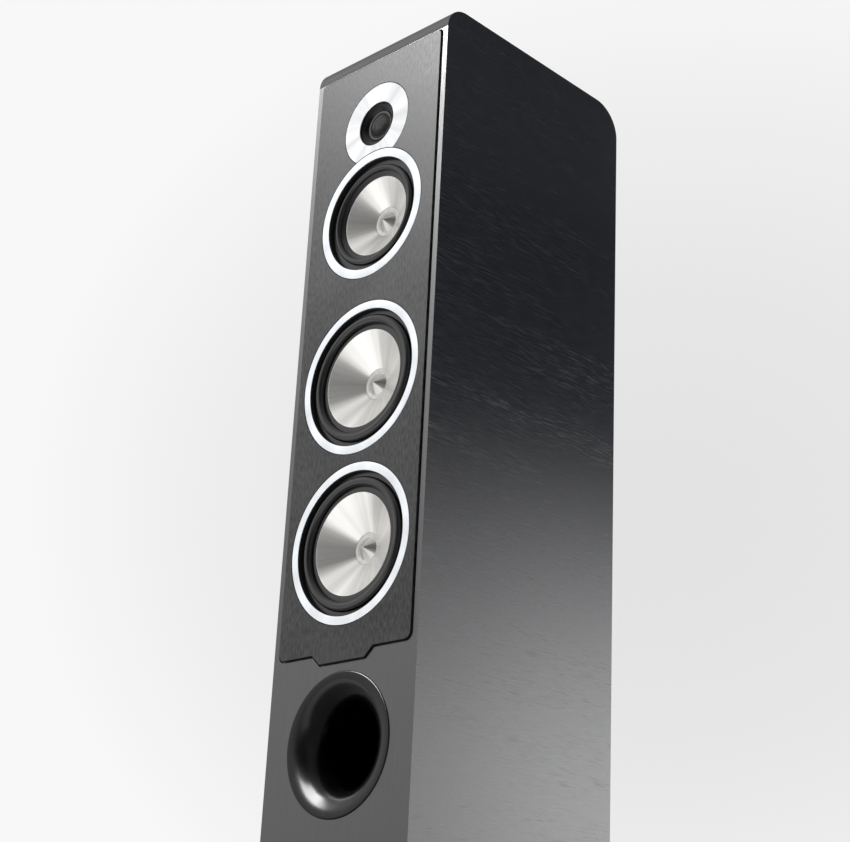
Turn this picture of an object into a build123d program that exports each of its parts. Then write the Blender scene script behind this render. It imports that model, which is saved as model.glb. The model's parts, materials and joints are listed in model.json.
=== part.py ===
"""Three-way floorstanding speaker with two woofers, a midrange, a dome tweeter and a front port.

Millimetres. +Z is up, the front faces -Y, and the origin is the middle of the footprint on the floor.
Every driver part is turned about its own axis, drawn as radius against depth behind the trim rings' front.
"""
from build123d import *
import math
import os

# Overall size
TOTAL_HEIGHT = 1060
CABINET_WIDTH = 217
CABINET_DEPTH = 313
WALL = 18
FRONT_Y = -163                      # the cabinet's flat front face
TOP_FRONT_RADIUS = 30
TOP_REAR_RADIUS = 40

# Plinth and feet
FOOT_HEIGHT = 26                    # floor to the plinth's underside
PLINTH_WIDTH = 270
PLINTH_DEPTH = 370
PLINTH_THICK = 22
PLINTH_CORNER = 18
FOOT_X = 112
FOOT_Y = 158
FOOT_BASE_R = 9
FOOT_COLLAR_R = 15
FOOT_THREAD_R = 4
THREAD_CLEARANCE = 0.05
BOLT_R = 3
BOLT_X = 62
BOLT_YS = (-100, 95)

# Baffle plate, which stands proud of the cabinet's face in a shallow recess
PLATE_PROUD = 2
PLATE_THICK = 6
PLATE_HALF_WIDTH = 99.6
PLATE_REVEAL = 2
PLATE_BOTTOM_BELOW_MID = 513.5
PLATE_TOP_ABOVE_MID = 205.5
TAB_DROP = 11
TAB_HALF_TOP = 46
TAB_HALF_BOTTOM = 34
TAB_ROUND = 2
PLATE_TOP_CORNER = 5
PLATE_BOTTOM_CORNER = 8

# Driver centres, from the floor
MID_Z = 822
TWEETER_Z = MID_Z + 118
UPPER_WOOFER_Z = MID_Z - 203.5
LOWER_WOOFER_Z = MID_Z - 395.5
PORT_Z = MID_Z - 611

# Drivers
RING_THICK = 2
FLANGE_BACK = PLATE_THICK           # a driver's flange rests on the floor of the plate's recess
HOLE_GAP = 0.8                      # shadow line between a trim ring and the plate
DIAPHRAGM_GAP = 0.3                 # between a moving diaphragm and its fixed surround
SCREW_R = 1.75
SCREW_HEAD_R = 3.2
SCREW_DEPTH = 22
SCREW_ANGLES = [0, 60, 120, 180, 240, 300]
TWEETER_SCREW_ANGLES = [5, 175, 240, 300]   # clear of the midrange, which lies at 90 degrees

# Port
PORT_R = 76.5
PORT_THROAT_R = 43.5
PORT_WALL = 3
PORT_BEAD = 1.8
PORT_TUBE_END = 180
PORT_REBATE = 3

# Inside the cabinet
BRACE_THICK = 12
BRACE_HEIGHTS = [MID_Z - 103, (UPPER_WOOFER_Z + LOWER_WOOFER_Z) / 2 - 6, PORT_Z + 108]
CHAMBER_R = 82
CHAMBER_DEPTH = 118
BOARD_THICK = 2
LEAD_R = 2.2
LEAD_TURN = 12
TAG_X = 56                          # a cone driver's terminal tag, beside its motor
TWEETER_LEAD_X = 37

# Rear terminals
TERMINAL_Z = 190
TERMINAL_WIDTH = 96
TERMINAL_HEIGHT = 66
TERMINAL_THICK = 3
POST_SPACING = 38
POST_THREAD_R = 3
SOCKET_R = 2
SOCKET_DEPTH = 18
POST_LENGTH = 25
POST_TAIL = 14                      # inside the cabinet's back
KNOB_R = 8
KNOB_LENGTH = 15
WASHER_THICK = 1.5
COLLAR_THICK = 3

CABINET_BOTTOM = FOOT_HEIGHT + PLINTH_THICK
CABINET_TOP = TOTAL_HEIGHT
REAR_Y = FRONT_Y + CABINET_DEPTH
RING_Y = FRONT_Y - PLATE_PROUD      # front plane of the plate and of every trim ring
INNER_HALF = CABINET_WIDTH / 2 - WALL
BOARD_TOP = CABINET_BOTTOM + WALL + 6 + BOARD_THICK
BOARD_Y = FRONT_Y + CABINET_DEPTH / 2 + 20

parts = {}


def keep(name, shape):
    """Stores a sub-part under its node's name, with a plain list of its solids."""
    shape.label = name
    parts[name] = shape


# ---------------------------------------------------------------- helpers

def revolve_profile(curves):
    """Solid of revolution about local Z, from a closed profile of radius (X) against depth (Z)."""
    face = make_face(Curve() + curves)
    return revolve(Plane.XZ * face, Axis.Z)


def polygon_edges(points):
    """Straight edges through the points, closed."""
    return [Line(a, b) for a, b in zip(points, points[1:] + points[:1])]


def turned(points):
    """Solid of revolution from straight edges through (radius, depth) points."""
    return revolve_profile(polygon_edges(points))


def tube(r_out, r_in, front, back):
    """Ring or sleeve between two depths."""
    return turned([(r_in, front), (r_out, front), (r_out, back), (r_in, back)])


def disc(radius, front, back):
    """Solid disc between two depths."""
    return Pos(0, 0, (front + back) / 2) * Cylinder(radius, back - front)


def on_front(shape, height):
    """Moves a part drawn along local Z onto the front: depth runs from the ring plane towards the rear."""
    return Pos(0, RING_Y, height) * Rot(X=-90) * shape


def around(shape, radius, angles):
    """Copies of a shape at the given angles on a circle about local Z."""
    return [Rot(Z=angle) * Pos(radius, 0, 0) * shape for angle in angles]


def even_angles(count, start=0):
    """Evenly spaced angles in degrees."""
    return [start + i * 360 / count for i in range(count)]


def half_width_profile(grow, x):
    """Cabinet's side outline in the YZ plane at x, moved inwards by grow, as a face."""
    front, rear = FRONT_Y + grow, REAR_Y - grow
    bottom, top = CABINET_BOTTOM + grow, CABINET_TOP - grow
    r_front, r_rear = TOP_FRONT_RADIUS - grow, TOP_REAR_RADIUS - grow
    arc_front = (front + r_front * (1 - math.sqrt(0.5)), top - r_front * (1 - math.sqrt(0.5)))
    arc_rear = (rear - r_rear * (1 - math.sqrt(0.5)), top - r_rear * (1 - math.sqrt(0.5)))
    outline = [
        Line((front, bottom), (front, top - r_front)),
        ThreePointArc((front, top - r_front), arc_front, (front + r_front, top)),
        Line((front + r_front, top), (rear - r_rear, top)),
        ThreePointArc((rear - r_rear, top), arc_rear, (rear, top - r_rear)),
        Line((rear, top - r_rear), (rear, bottom)),
        Line((rear, bottom), (front, bottom)),
    ]
    return Plane.YZ.offset(x) * make_face(Curve() + outline)


# ---------------------------------------------------------------- cabinet

def plate_outline(grow):
    """Outline of the baffle plate in the XZ plane, grown by a margin, with the tab at its foot."""
    half = PLATE_HALF_WIDTH + grow
    top = MID_Z + PLATE_TOP_ABOVE_MID + grow
    bottom = MID_Z - PLATE_BOTTOM_BELOW_MID - grow
    slope = grow * math.tan(math.radians(22.5))
    points = [
        (-half, bottom),
        (-TAB_HALF_TOP - slope, bottom),
        (-TAB_HALF_BOTTOM - slope, bottom - TAB_DROP),
        (TAB_HALF_BOTTOM + slope, bottom - TAB_DROP),
        (TAB_HALF_TOP + slope, bottom),
        (half, bottom),
        (half, top),
        (-half, top),
    ]
    face = make_face(Curve() + polygon_edges(points))
    corners = face.vertices().sort_by(Axis.Y)
    tab_corners = corners[0:2] + [v for v in corners[2:6] if abs(v.X) < half - 1]
    side_corners = [v for v in corners[2:6] if abs(v.X) > half - 1]
    face = fillet(tab_corners, TAB_ROUND)
    lower = [v for v in face.vertices() if abs(abs(v.X) - half) < 0.01 and v.Y < side_corners[0].Y + 0.01]
    face = fillet(lower, PLATE_BOTTOM_CORNER + grow)
    upper = [v for v in face.vertices() if abs(v.Y - top) < 0.01]
    return fillet(upper, PLATE_TOP_CORNER + grow)


def plate_slab(grow, front, back):
    """The plate's outline as a slab between two Y planes."""
    face = plate_outline(grow)
    slab = extrude(Plane.XZ * face, -(back - front))
    return Pos(0, front, 0) * slab


def driver_holes(radii, front, back):
    """Round cutters at the driver centres, between two Y planes."""
    cutters = []
    for height, radius in radii.items():
        hole = Rot(X=-90) * Cylinder(radius, back - front)
        cutters.append(Pos(0, (front + back) / 2, height) * hole)
    return cutters


def make_cabinet():
    """Mitred side panels, with the front, top, rear and bottom panels between them."""
    half = CABINET_WIDTH / 2
    outer = extrude(half_width_profile(0, -half), CABINET_WIDTH)
    inner = extrude(half_width_profile(WALL, -INNER_HALF), 2 * INNER_HALF)
    side_right = loft([half_width_profile(0, half), half_width_profile(WALL, INNER_HALF)], ruled=True)
    side_left = mirror(side_right, Plane.YZ)
    shell = outer - inner - side_right - side_left

    curve_start = CABINET_TOP - TOP_FRONT_RADIUS
    rear_start = CABINET_TOP - TOP_REAR_RADIUS
    middle = FRONT_Y + TOP_FRONT_RADIUS
    big = 2 * TOTAL_HEIGHT
    below_front = Pos(0, middle - big / 2, curve_start - big / 2) * Box(big, big, big)
    below_rear = Pos(0, REAR_Y - TOP_REAR_RADIUS + big / 2, rear_start - big / 2) * Box(big, big, big)
    inside = Pos(0, FRONT_Y + CABINET_DEPTH / 2, CABINET_BOTTOM + WALL / 2)
    bottom = shell & (inside * Box(big, CABINET_DEPTH - 2 * WALL, WALL))
    rest = shell - bottom
    front = rest & below_front
    rear = (rest & below_rear) - below_front
    top = rest - below_front - below_rear
    return side_right, side_left, front, rear, top, bottom


def chamfered_plate():
    """The proud baffle plate, with its driver holes and a fine bevel round its front edge."""
    slab = plate_slab(0, RING_Y, RING_Y + PLATE_THICK)
    front_edges = slab.edges().filter_by(lambda e: abs(e.center().Y - RING_Y) < 0.01)
    slab = chamfer(front_edges, 0.4)
    holes = driver_holes(
        {
            TWEETER_Z: TWEETER["ring_r"] + HOLE_GAP,
            MID_Z: MIDRANGE["ring_r"] + HOLE_GAP,
            UPPER_WOOFER_Z: WOOFER["ring_r"] + HOLE_GAP,
            LOWER_WOOFER_Z: WOOFER["ring_r"] + HOLE_GAP,
        },
        RING_Y - 1,
        RING_Y + PLATE_THICK + 1,
    )
    for hole in holes:
        slab -= hole
    return slab


def pilot_holes(height, radius, angles):
    """Pilot holes for a driver's screws."""
    pilot = disc(SCREW_R, 0, SCREW_DEPTH)
    return [on_front(hole, height) for hole in around(pilot, radius, angles)]


def cut_screw_seats(flange, radius, angles):
    """Counterbores for the screw heads and clearance holes for the shanks."""
    head = disc(SCREW_HEAD_R + 0.1, RING_THICK - 1, 4.2)
    shank = disc(SCREW_R + 0.15, 0, FLANGE_BACK + 1)
    for cutter in around(head, radius, angles) + around(shank, radius, angles):
        flange -= cutter
    return flange


def make_front_baffle(front):
    """Front panel with the plate's recess, the driver cut-outs and the port's stepped hole."""
    recess = plate_slab(PLATE_REVEAL, FRONT_Y - 1, RING_Y + PLATE_THICK)
    front -= recess
    holes = driver_holes(
        {
            TWEETER_Z: TWEETER["cutout_r"],
            MID_Z: MIDRANGE["cutout_r"],
            UPPER_WOOFER_Z: WOOFER["cutout_r"],
            LOWER_WOOFER_Z: WOOFER["cutout_r"],
            PORT_Z: PORT_R - 4.5,
        },
        FRONT_Y - 1,
        FRONT_Y + WALL + 1,
    )
    holes += driver_holes({PORT_Z: PORT_R}, FRONT_Y - 1, FRONT_Y + PORT_REBATE)
    for spec, height in CONE_DRIVERS:
        holes += pilot_holes(height, spec["screw_r"], SCREW_ANGLES)
    holes += pilot_holes(TWEETER_Z, TWEETER["screw_r"], TWEETER_SCREW_ANGLES)
    for hole in holes:
        front -= hole
    return front


def make_braces():
    """Three horizontal window braces that tie the side panels together."""
    depth = CABINET_DEPTH - 2 * WALL
    window = RectangleRounded(2 * INNER_HALF - 60, depth - 80, 20)
    board = Rectangle(2 * INNER_HALF, depth) - window
    solids = [
        Pos(0, FRONT_Y + CABINET_DEPTH / 2, height) * extrude(board, BRACE_THICK)
        for height in BRACE_HEIGHTS
    ]
    return Compound(children=solids)


def make_chamber():
    """Round tub that seals the midrange's back from the woofers' air."""
    wall = 4
    front = PLATE_PROUD + WALL
    back = front + CHAMBER_DEPTH
    tub = turned([
        (CHAMBER_R - wall, front),
        (CHAMBER_R, front),
        (CHAMBER_R, back),
        (0, back),
        (0, back - wall),
        (CHAMBER_R - wall, back - wall),
    ])
    tub -= Pos(-TAG_X, 0, back) * Cylinder(LEAD_R, 4 * wall)
    return on_front(tub, MID_Z)


# ---------------------------------------------------------------- cone drivers

WOOFER = {
    "ring_r": 90, "ring_in": 80.5, "land": 6.2, "roll_out": 75, "roll_in": 63.5, "roll_rise": 5.6,
    "cone_r": 57.3, "cone_front": 5.6, "cone_depth": 22, "cap_r": 18, "coil_r": 16, "travel": 6,
    "spider_r": 46, "magnet_r": 50, "magnet_thick": 18, "cutout_r": 82, "screw_r": 86,
}
MIDRANGE = {
    "ring_r": 80.5, "ring_in": 69.7, "land": 6.2, "roll_out": 62.5, "roll_in": 54.5, "roll_rise": 4.2,
    "cone_r": 48.7, "cone_front": 8.6, "cone_depth": 18.5, "cap_r": 17.9, "coil_r": 15.6, "travel": 3,
    "spider_r": 38, "magnet_r": 43, "magnet_thick": 15, "cutout_r": 71, "screw_r": 75.2,
}
TWEETER = {
    "ring_r": 52, "hole_r": 27.8, "cutout_r": 40, "screw_r": 45,
    "dome_r": 14, "dome_rise": 5.4, "seat": 6, "coil_r": 13.2, "magnet_r": 34,
}
CONE_DRIVERS = [(MIDRANGE, MID_Z), (WOOFER, UPPER_WOOFER_Z), (WOOFER, LOWER_WOOFER_Z)]

LEGS = 6                            # of a cast frame
FORMER_WALL = 0.6
WINDING = 0.8
SKIN = 0.8                          # cone thickness
CAP_ROOT = 0.72                     # of the cap's radius, where its forward cone starts
CAP_DISH = 1.5
CAP_TIP = 8
RUBBER = 1.0                        # surround thickness
SPIDER_DEPTH = 11                   # behind the cone's neck
GAP_DEPTH = 22                      # neck to the front of the top plate
TOP_PLATE = 6
BACK_PLATE = 6


def neck(spec):
    """Depth of the cone's neck, where the cap and the coil former meet it."""
    return spec["cone_front"] + spec["cone_depth"]


def make_trim_ring(spec):
    """Flat bright ring with fine bevels on its front corners."""
    bevel = 0.3
    r_out, r_in = spec["ring_r"], spec["ring_in"]
    return turned([
        (r_in, bevel),
        (r_in + bevel, 0),
        (r_out - bevel, 0),
        (r_out, bevel),
        (r_out, RING_THICK),
        (r_in, RING_THICK),
    ])


def make_basket(spec):
    """Cast frame: screwed flange, stepped land for the surround, open legs, spider shelf and rear seat."""
    step = spec["ring_in"] - 0.4
    land = spec["land"] + RUBBER
    shelf_r = spec["spider_r"]
    shelf = neck(spec) + SPIDER_DEPTH + 1.5
    seat = neck(spec) + GAP_DEPTH
    land_in = spec["roll_out"] - 1
    flange_r = spec["ring_r"]
    outline = [
        (step, RING_THICK),
        (flange_r, RING_THICK),
        (flange_r, FLANGE_BACK),
        (spec["cutout_r"] - 0.3, FLANGE_BACK),
        (spec["cutout_r"] - 0.3, land + 4),
        (shelf_r + 5, shelf + 2),
        (shelf_r + 2, seat),
        (spec["coil_r"] + 6, seat),
        (spec["coil_r"] + 6, seat - 3),
        (shelf_r - 1, seat - 3),
        (shelf_r + 2, shelf + 2),
        (shelf_r - 5, shelf + 2),
        (shelf_r - 5, shelf),
        (shelf_r + 2, shelf),
        (land_in, land + 3),
        (land_in, land),
        (step, land),
    ]
    basket = turned(outline)
    window_front = land + 5.5
    window_back = shelf - 1.5
    reach = spec["ring_r"]
    window = Pos(reach / 2 + 20, 0, (window_front + window_back) / 2)
    window = window * Box(reach, spec["spider_r"] * 0.85, window_back - window_front)
    for cutter in around(window, 0, even_angles(LEGS, 30)):
        basket -= cutter
    tag_in = shelf_r - 2
    tag_out = TAG_X + LEAD_R + 1
    basket += Pos(-(tag_in + tag_out) / 2, 0, seat - 1) * Box(tag_out - tag_in, 9, 2)
    return cut_screw_seats(basket, spec["screw_r"], SCREW_ANGLES)


def make_surround(spec):
    """Half-roll rubber surround with an outer lip on the frame and a skirt down to the cone."""
    lip_out = spec["ring_in"] - 0.7
    r_out, r_in = spec["roll_out"], spec["roll_in"]
    land, rise = spec["land"], spec["roll_rise"]
    middle = (r_out + r_in) / 2
    foot = spec["cone_r"] + DIAPHRAGM_GAP
    drop = spec["cone_front"]
    back = land + RUBBER
    back_in = r_in + RUBBER / 2
    back_out = r_out - RUBBER
    curves = [
        Line((lip_out, back), (lip_out, land)),
        Line((lip_out, land), (r_out, land)),
        ThreePointArc((r_out, land), (middle, land - rise), (r_in, land)),
        Line((r_in, land), (foot, drop)),
        Line((foot, drop), (foot, drop + RUBBER)),
        Line((foot, drop + RUBBER), (back_in, back)),
        ThreePointArc((back_in, back), (middle, back - rise), (back_out, back)),
        Line((back_out, back), (lip_out, back)),
    ]
    return revolve_profile(curves)


def make_cone(spec):
    """Straight-sided metal cone from its rim to the neck."""
    front, back = spec["cone_front"], neck(spec)
    rim, throat = spec["cone_r"], spec["cap_r"] + 0.2
    return turned([
        (throat, back),
        (rim - 0.4, front),
        (rim, front),
        (rim, front + SKIN),
        (throat, back + SKIN + 0.4),
    ])


def make_cap(spec):
    """Centre cap: a shallow dish round a blunt forward-pointing cone with a small ball nose."""
    rim = spec["cap_r"]
    root = rim * CAP_ROOT
    dish = neck(spec) + CAP_DISH
    nose_r = 1.2
    run = root - nose_r
    slant = math.hypot(run, CAP_TIP)
    ball = nose_r * slant / CAP_TIP
    nose = dish - CAP_TIP
    centre = nose + ball * run / slant
    half_angle = math.asin(nose_r / ball) / 2
    nose_mid = (ball * math.sin(half_angle), centre - ball * math.cos(half_angle))
    curves = [
        Line((rim, neck(spec)), (root, dish)),
        Line((root, dish), (nose_r, nose)),
        ThreePointArc((nose_r, nose), nose_mid, (0, centre - ball)),
        Line((0, centre - ball), (0, nose + SKIN)),
        Line((0, nose + SKIN), (root - 0.4, dish + SKIN)),
        Line((root - 0.4, dish + SKIN), (rim, neck(spec) + SKIN)),
        Line((rim, neck(spec) + SKIN), (rim, neck(spec))),
    ]
    return revolve_profile(curves)


def make_coil(spec):
    """Coil former with its copper winding at the rear end."""
    inner = spec["coil_r"]
    start = neck(spec) + 2.6
    gap = neck(spec) + GAP_DEPTH
    end = gap + TOP_PLATE + spec["travel"] / 2
    return turned([
        (inner, start),
        (inner + FORMER_WALL, start),
        (inner + FORMER_WALL, gap - spec["travel"] / 2),
        (inner + FORMER_WALL + WINDING, gap - spec["travel"] / 2),
        (inner + FORMER_WALL + WINDING, end),
        (inner, end),
    ])


def make_spider(spec):
    """Corrugated suspension disc between the former and the frame's shelf."""
    inner = spec["coil_r"] + FORMER_WALL + DIAPHRAGM_GAP + 0.1
    outer = spec["spider_r"]
    depth = neck(spec) + SPIDER_DEPTH
    waves = 5
    cloth = 0.6
    rise = 1.0
    lip = 3
    span = (outer - lip - inner) / waves
    back = depth + cloth
    curves = []
    for i in range(waves):
        a, b = inner + i * span, inner + (i + 1) * span
        side = rise if i % 2 else -rise
        for level in (depth, back):
            curves.append(ThreePointArc((a, level), ((a + b) / 2, level + side), (b, level)))
    ends = [
        Line((inner, depth), (inner, back)),
        Line((outer - lip, depth), (outer, depth)),
        Line((outer, depth), (outer, back)),
        Line((outer, back), (outer - lip, back)),
    ]
    return revolve_profile(curves + ends)


def make_motor(spec):
    """Magnet ring, front plate and vented yoke of one motor, with the coil's gap between them."""
    seat = neck(spec) + GAP_DEPTH
    magnet_front = seat + TOP_PLATE
    magnet_back = magnet_front + spec["magnet_thick"]
    coil = spec["coil_r"]
    hole = coil + FORMER_WALL + WINDING + 0.6
    pole = coil - 0.8
    vent = 4
    radius = spec["magnet_r"]
    magnet = tube(radius, hole + 4, magnet_front, magnet_back)
    plate = tube(radius - 3, hole, seat, magnet_front)
    yoke = turned([
        (vent, seat),
        (pole, seat),
        (pole, magnet_back),
        (radius - 3, magnet_back),
        (radius - 5, magnet_back + BACK_PLATE),
        (vent, magnet_back + BACK_PLATE),
    ])
    return magnet, plate, yoke


def make_screw():
    """One pan-head screw, its head under the trim ring."""
    head = disc(SCREW_HEAD_R, 2.2, 4.2)
    shank = disc(SCREW_R, 4.2, SCREW_DEPTH - 3)
    point = turned([(0, SCREW_DEPTH - 3), (SCREW_R, SCREW_DEPTH - 3), (0, SCREW_DEPTH)])
    slot = Pos(0, 0, 2.2) * (Box(3.6, 0.8, 2) + Box(0.8, 3.6, 2))
    return head + shank + point - slot


def make_cone_driver(name, spec, height):
    """Stores the parts of one cone driver that have nodes of their own, and returns its motor's solids."""
    makers = {
        "trim_ring": make_trim_ring,
        "basket": make_basket,
        "surround": make_surround,
        "cone": make_cone,
        "centre_cap": make_cap,
        "voice_coil": make_coil,
        "spider": make_spider,
    }
    for label, maker in makers.items():
        keep(f"{name}_{label}", on_front(maker(spec), height))
    return [on_front(solid, height) for solid in make_motor(spec)]


# ---------------------------------------------------------------- tweeter

def mid_ring_cutter(margin):
    """Cylinder that trims the tweeter's plates to the midrange ring, in the tweeter's local frame."""
    drop = TWEETER_Z - MID_Z
    return Pos(0, drop, 5) * Cylinder(MIDRANGE["ring_r"] + margin, 40)


def make_tweeter():
    """Bright faceplate, black horn, dome with its ring and coil, and a compact motor."""
    spec = TWEETER
    hole, seat, dome_r = spec["hole_r"], spec["seat"], spec["dome_r"]
    bevel = 0.3
    ring_r = spec["ring_r"]
    throat = 18.4
    face = turned([
        (hole, bevel),
        (hole + bevel, 0),
        (ring_r - bevel, 0),
        (ring_r, bevel),
        (ring_r, RING_THICK),
        (hole, RING_THICK),
    ])
    keep("tweeter_faceplate", on_front(face - mid_ring_cutter(HOLE_GAP), TWEETER_Z))

    lip = hole - 0.15
    horn = turned([
        (lip, 1.0),
        (lip, RING_THICK),
        (ring_r, RING_THICK),
        (ring_r, FLANGE_BACK),
        (spec["cutout_r"] - 0.4, FLANGE_BACK),
        (spec["cutout_r"] - 0.4, seat + 3),
        (throat - 2.6, seat + 3),
        (throat - 2.6, seat + 1.4),
        (throat, seat + 1.4),
        (throat, seat),
        (22, 3.6),
        (25.6, 2.2),
        (26.3, 1.6),
        (26.6, 0.6),
        (27.1, 0.5),
    ])
    horn -= mid_ring_cutter(HOLE_GAP)
    horn = cut_screw_seats(horn, spec["screw_r"], TWEETER_SCREW_ANGLES)
    keep("tweeter_horn", on_front(horn, TWEETER_Z))

    keep("tweeter_dome_ring", on_front(tube(throat - 0.1, throat - 2.4, seat - 0.3, seat + 1.4), TWEETER_Z))

    rise = spec["dome_rise"]
    skin = 0.4
    ball = (dome_r ** 2 + rise ** 2) / (2 * rise)
    half_angle = math.asin(dome_r / ball) / 2
    mid_out = (ball * math.sin(half_angle), seat - rise + ball * (1 - math.cos(half_angle)))
    inner_ball = ball - skin
    inner_r = dome_r - skin
    inner_rise = ball - skin - math.sqrt(inner_ball ** 2 - inner_r ** 2)
    inner_angle = math.asin(inner_r / inner_ball) / 2
    inner_top = seat - rise + skin
    mid_in = (inner_ball * math.sin(inner_angle), inner_top + inner_ball * (1 - math.cos(inner_angle)))
    roll = (dome_r + 0.85, seat - 0.8)
    rim = throat - 2.7
    curves = [
        ThreePointArc((0, seat - rise), mid_out, (dome_r, seat)),
        ThreePointArc((dome_r, seat), roll, (rim, seat)),
        Line((rim, seat), (rim, seat + skin)),
        Line((rim, seat + skin), (inner_r, seat + skin)),
        Line((inner_r, seat + skin), (inner_r, inner_top + inner_rise)),
        ThreePointArc((inner_r, inner_top + inner_rise), mid_in, (0, inner_top)),
        Line((0, inner_top), (0, seat - rise)),
    ]
    keep("tweeter_dome", on_front(revolve_profile(curves), TWEETER_Z))

    coil = spec["coil_r"]
    coil_front = seat + skin
    gap_front = seat + 3.6
    coil_tube = turned([
        (coil - 0.3, coil_front),
        (coil, coil_front),
        (coil, gap_front - 1),
        (coil + 0.5, gap_front - 1),
        (coil + 0.5, gap_front + 4),
        (coil - 0.3, gap_front + 4),
    ])
    keep("tweeter_voice_coil", on_front(coil_tube, TWEETER_Z))

    radius = spec["magnet_r"]
    pole = coil - 0.7
    plate_back = gap_front + 3
    magnet_back = plate_back + 12
    plate = on_front(tube(radius, coil + 1, gap_front - 0.6, plate_back), TWEETER_Z)
    magnet = on_front(tube(radius - 1, coil + 5, plate_back, magnet_back), TWEETER_Z)
    yoke = on_front(
        turned([
            (0, gap_front),
            (pole, gap_front),
            (pole, magnet_back),
            (radius, magnet_back),
            (radius, magnet_back + 4),
            (0, magnet_back + 4),
        ]),
        TWEETER_Z,
    )
    return magnet, plate, yoke


# ---------------------------------------------------------------- port

def make_port():
    """Flared mouth with a rolled bead round its edge, and the tube behind it."""
    crest = -1.0
    corner = PORT_R - PORT_BEAD
    inner_radius = corner - PORT_THROAT_R
    tube_start = crest + inner_radius
    outer_radius = inner_radius - PORT_WALL
    rebate_r = corner - math.sqrt(outer_radius ** 2 - (tube_start - PORT_REBATE) ** 2)
    diagonal = math.sqrt(0.5)
    bead_mid = (corner + PORT_BEAD * diagonal, crest + PORT_BEAD * (1 - diagonal))
    inner_mid = (corner - inner_radius * diagonal, tube_start - inner_radius * diagonal)
    start_angle = math.acos((tube_start - PORT_REBATE) / outer_radius)
    mid_angle = (start_angle + math.pi / 2) / 2
    outer_mid = (corner - outer_radius * math.sin(mid_angle), tube_start - outer_radius * math.cos(mid_angle))
    throat_out = PORT_THROAT_R + PORT_WALL
    curves = [
        Line((PORT_R, PORT_REBATE), (PORT_R, crest + PORT_BEAD)),
        ThreePointArc((PORT_R, crest + PORT_BEAD), bead_mid, (corner, crest)),
        ThreePointArc((corner, crest), inner_mid, (PORT_THROAT_R, tube_start)),
        Line((PORT_THROAT_R, tube_start), (throat_out, tube_start)),
        ThreePointArc((throat_out, tube_start), outer_mid, (rebate_r, PORT_REBATE)),
        Line((rebate_r, PORT_REBATE), (PORT_R, PORT_REBATE)),
    ]
    place = Pos(0, FRONT_Y, PORT_Z) * Rot(X=-90)
    keep("port_flare", place * revolve_profile(curves))
    keep("port_tube", place * tube(throat_out, PORT_THROAT_R, tube_start, PORT_TUBE_END))


# ---------------------------------------------------------------- rear terminals

def rear_place(x, height):
    """Frame whose local Z points out of the cabinet's back, at the rear panel's face."""
    return Pos(x, REAR_Y, height) * Rot(X=-90)


def make_terminals(rear):
    """Terminal plate and two binding posts with washers and turning knobs. Returns the cut rear panel."""
    half_spacing = POST_SPACING / 2
    outline = RectangleRounded(TERMINAL_WIDTH, TERMINAL_HEIGHT, 6)
    plate = rear_place(0, TERMINAL_Z) * extrude(outline, TERMINAL_THICK)
    outer_face = REAR_Y + TERMINAL_THICK
    plate = chamfer(plate.edges().filter_by(lambda e: abs(e.center().Y - outer_face) < 0.01), 0.6)
    cutout = rear_place(0, TERMINAL_Z) * Pos(0, 0, -WALL / 2)
    rear -= cutout * Box(TERMINAL_WIDTH - 24, TERMINAL_HEIGHT - 24, WALL + 4)

    posts, screws = [], []
    for side, sign in (("negative", -1), ("positive", 1)):
        place = rear_place(sign * half_spacing, TERMINAL_Z)
        plate -= place * Cylinder(POST_THREAD_R + 0.2, 20)
        collar_top = TERMINAL_THICK + COLLAR_THICK
        post = Pos(0, 0, (POST_LENGTH - POST_TAIL) / 2) * Cylinder(POST_THREAD_R, POST_LENGTH + POST_TAIL)
        post += Pos(0, 0, TERMINAL_THICK) * extrude(RegularPolygon(6.5, 6), COLLAR_THICK)
        nut = Pos(0, 0, -3) * extrude(RegularPolygon(5.2, 6), 3)
        post += nut
        post -= Pos(0, 0, POST_LENGTH - SOCKET_DEPTH / 2) * Cylinder(SOCKET_R, SOCKET_DEPTH)
        posts.append(place * post)

        washer = tube(KNOB_R - 1, POST_THREAD_R + THREAD_CLEARANCE, collar_top, collar_top + WASHER_THICK)
        keep(f"{side}_washer", place * washer)
        keep(f"{side}_knob", place * make_knob(collar_top + WASHER_THICK))

    for x in (-1, 1):
        for z in (-1, 1):
            place = rear_place(x * (TERMINAL_WIDTH / 2 - 7), TERMINAL_Z + z * (TERMINAL_HEIGHT / 2 - 7))
            head = Pos(0, 0, TERMINAL_THICK + 0.7) * Cylinder(3, 1.4)
            shank = Pos(0, 0, (TERMINAL_THICK - 13) / 2) * Cylinder(SCREW_R, TERMINAL_THICK + 13)
            recess = Pos(0, 0, TERMINAL_THICK + 1.2) * Box(3.2, 0.7, 1)
            cross = Pos(0, 0, TERMINAL_THICK + 1.2) * Box(0.7, 3.2, 1)
            screws.append(place * (head + shank - recess - cross))
            bore = place * Cylinder(SCREW_R, 40)
            plate -= bore
            rear -= place * Pos(0, 0, -13 / 2) * Cylinder(SCREW_R, 13)
    keep("terminal_plate", plate)
    keep("binding_posts", Compound(children=posts))
    return rear, screws


def make_knob(start):
    """Grooved knob that screws along the post."""
    body = Pos(0, 0, start + KNOB_LENGTH / 2) * Cylinder(KNOB_R, KNOB_LENGTH)
    body = chamfer(body.edges().filter_by(GeomType.CIRCLE), 0.8)
    groove = Pos(0, 0, start + KNOB_LENGTH / 2 + 1) * Cylinder(0.9, KNOB_LENGTH)
    for cutter in around(groove, KNOB_R + 0.2, even_angles(14)):
        body -= cutter
    body -= Pos(0, 0, start + KNOB_LENGTH / 2) * Cylinder(POST_THREAD_R + THREAD_CLEARANCE, KNOB_LENGTH + 2)
    return body


# ---------------------------------------------------------------- plinth and feet

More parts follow.
